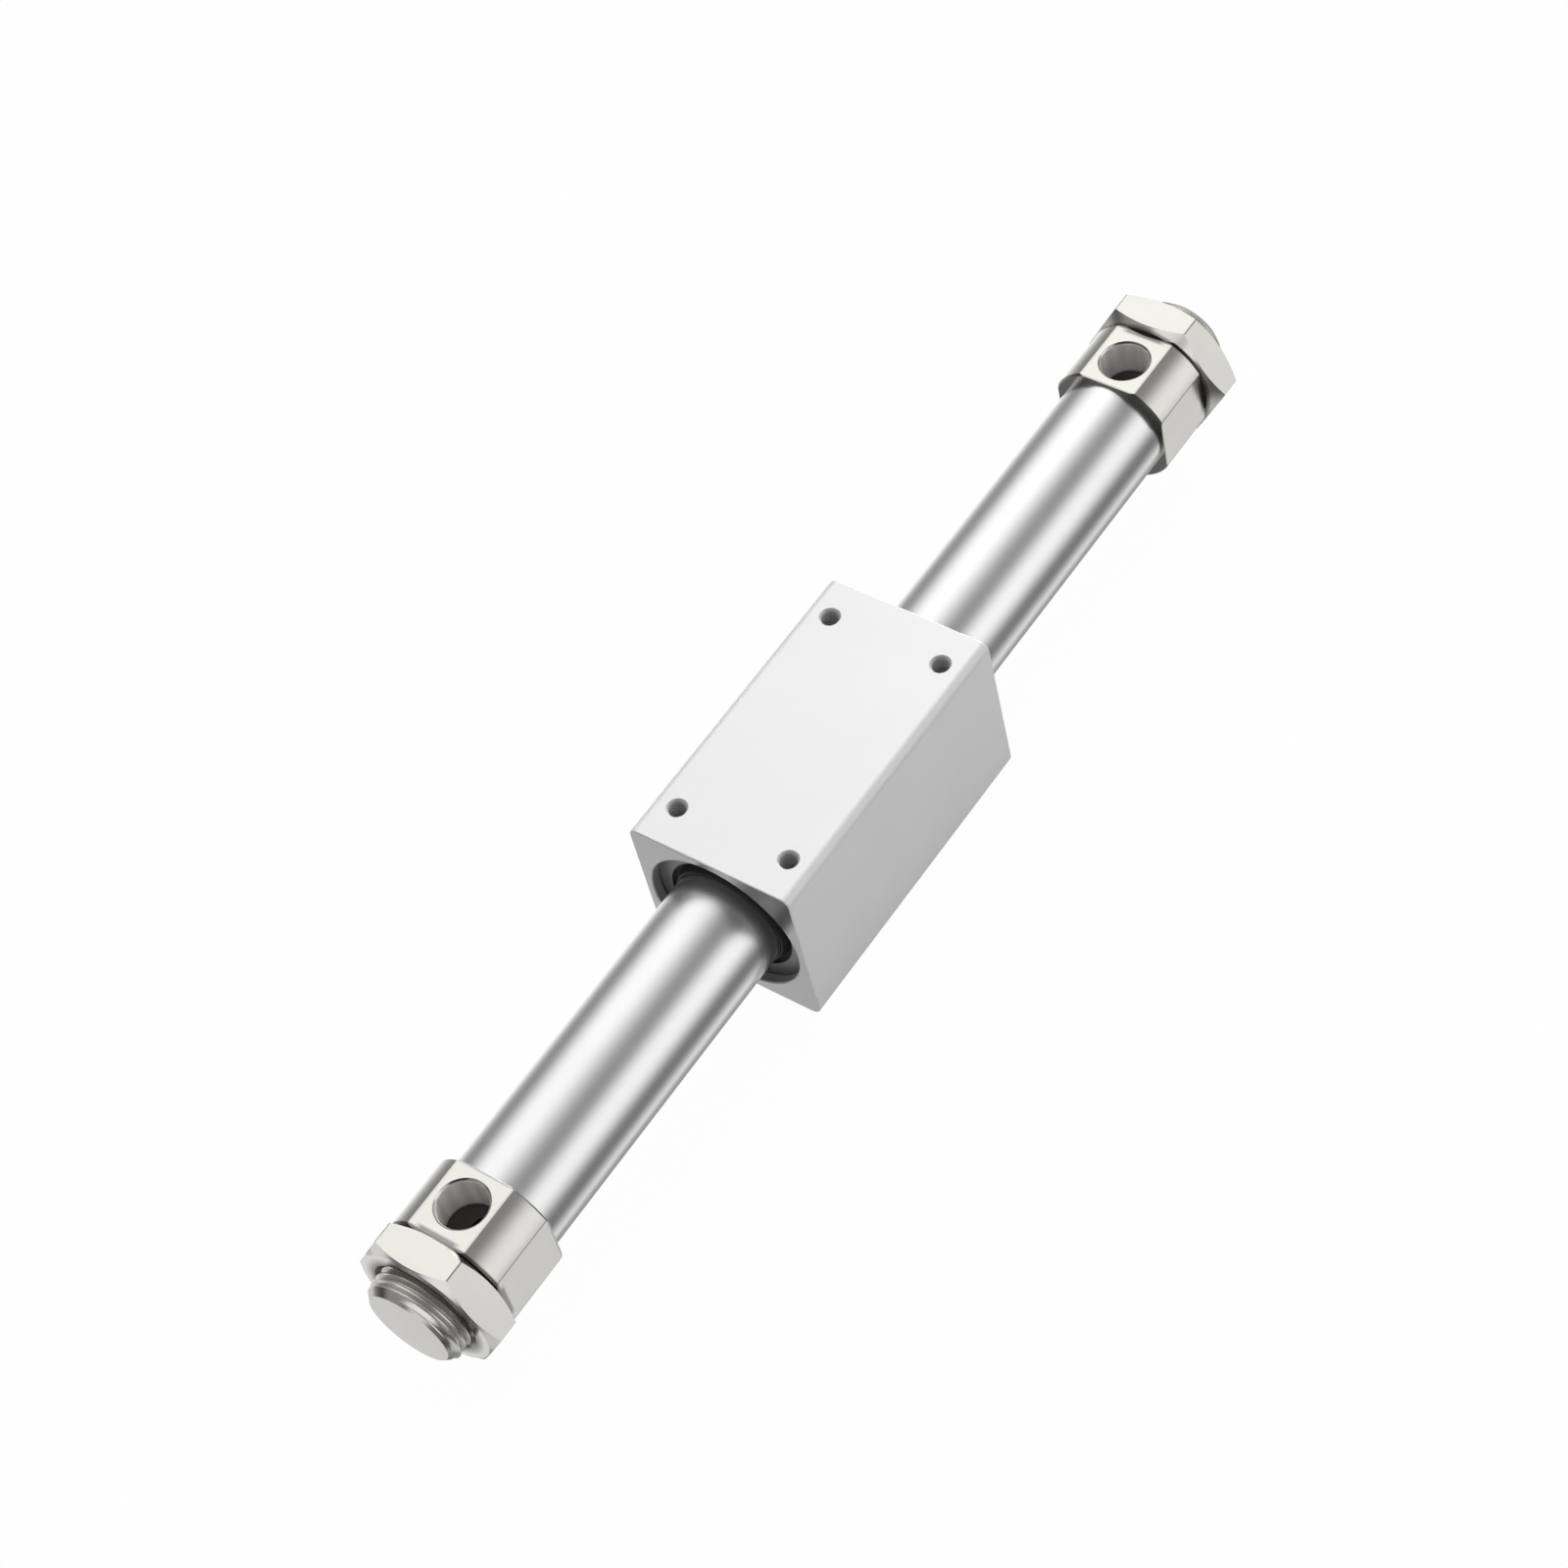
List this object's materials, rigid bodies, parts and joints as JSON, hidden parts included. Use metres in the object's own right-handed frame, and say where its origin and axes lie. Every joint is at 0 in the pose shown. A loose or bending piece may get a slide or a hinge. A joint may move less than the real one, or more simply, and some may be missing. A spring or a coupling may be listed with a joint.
{
  "type": "magnetically coupled rodless cylinder",
  "caption": "Rodless air cylinder: a magnetic piston in a sealed steel tube carries a square block along the outside, with threaded noses, hex nuts and top ports.",
  "frame": {"origin": "on the tube's axis at mid-stroke, in the middle of the block", "axes": "+X along the tube, +Z out of the block's face with the four threaded holes, which is also the side of both ports"},
  "size_m": [0.2586, 0.036, 0.036],
  "materials": {
    "stainless_tube": "drawn and polished",
    "stainless_rod": "ground",
    "block_aluminium": "fine satin, clear anodised",
    "nickel_cover": "electroless nickel plated",
    "nickel_nut": "nickel plated",
    "carrier_aluminium": "dark anodised",
    "piston_aluminium": "turned",
    "zinc_steel": "zinc plated",
    "yoke_steel": "zinc plated",
    "magnet": "nickel plated sintered magnet",
    "spring_steel": "phosphated",
    "nitrile_rubber": "moulded",
    "urethane": "moulded",
    "bearing_resin": "turned",
    "felt": "oiled"
  },
  "bodies": {
    "cylinder": {"cylinder_tube": "stainless_tube", "end_cover_left": "nickel_cover", "end_cover_right": "nickel_cover", "mounting_nut_left": "nickel_nut", "mounting_nut_right": "nickel_nut", "tube_gasket_left": "nitrile_rubber", "tube_gasket_right": "nitrile_rubber", "tube_lock_ring_left": "spring_steel", "tube_lock_ring_right": "spring_steel", "bumper_left": "urethane", "bumper_right": "urethane"},
    "piston": {"piston_shaft": "stainless_rod", "piston_left": "piston_aluminium", "piston_right": "piston_aluminium", "piston_seal_left": "nitrile_rubber", "piston_seal_right": "nitrile_rubber", "piston_wear_ring_left": "bearing_resin", "piston_wear_ring_right": "bearing_resin", "piston_nut_left": "zinc_steel", "piston_nut_right": "zinc_steel", "inner_magnet_1": "magnet", "inner_magnet_2": "magnet", "inner_magnet_3": "magnet", "inner_magnet_4": "magnet", "inner_yoke_1": "yoke_steel", "inner_yoke_2": "yoke_steel", "inner_yoke_3": "yoke_steel", "inner_yoke_4": "yoke_steel", "inner_yoke_5": "yoke_steel"},
    "slider": {"slider_block": "block_aluminium", "outer_magnet_1": "magnet", "outer_magnet_2": "magnet", "outer_magnet_3": "magnet", "outer_magnet_4": "magnet", "outer_yoke_1": "yoke_steel", "outer_yoke_2": "yoke_steel", "outer_yoke_3": "yoke_steel", "outer_yoke_4": "yoke_steel", "outer_yoke_5": "yoke_steel", "ring_carrier_left": "carrier_aluminium", "ring_carrier_right": "carrier_aluminium", "slider_wear_ring_left": "bearing_resin", "slider_wear_ring_right": "bearing_resin", "lube_retainer_left": "felt", "lube_retainer_right": "felt", "scraper_left": "nitrile_rubber", "scraper_right": "nitrile_rubber", "retaining_ring_left": "spring_steel", "retaining_ring_right": "spring_steel"}
  },
  "joints": [
    {"name": "piston_stroke", "type": "slide", "parent": "cylinder", "child": "piston", "axis": [1, 0, 0], "range_m": [-0.0625, 0.0625]},
    {"name": "slider_turn", "type": "hinge", "parent": "piston", "child": "slider", "pos_m": [0, 0, 0], "axis": [1, 0, 0], "continuous": true}
  ]
}
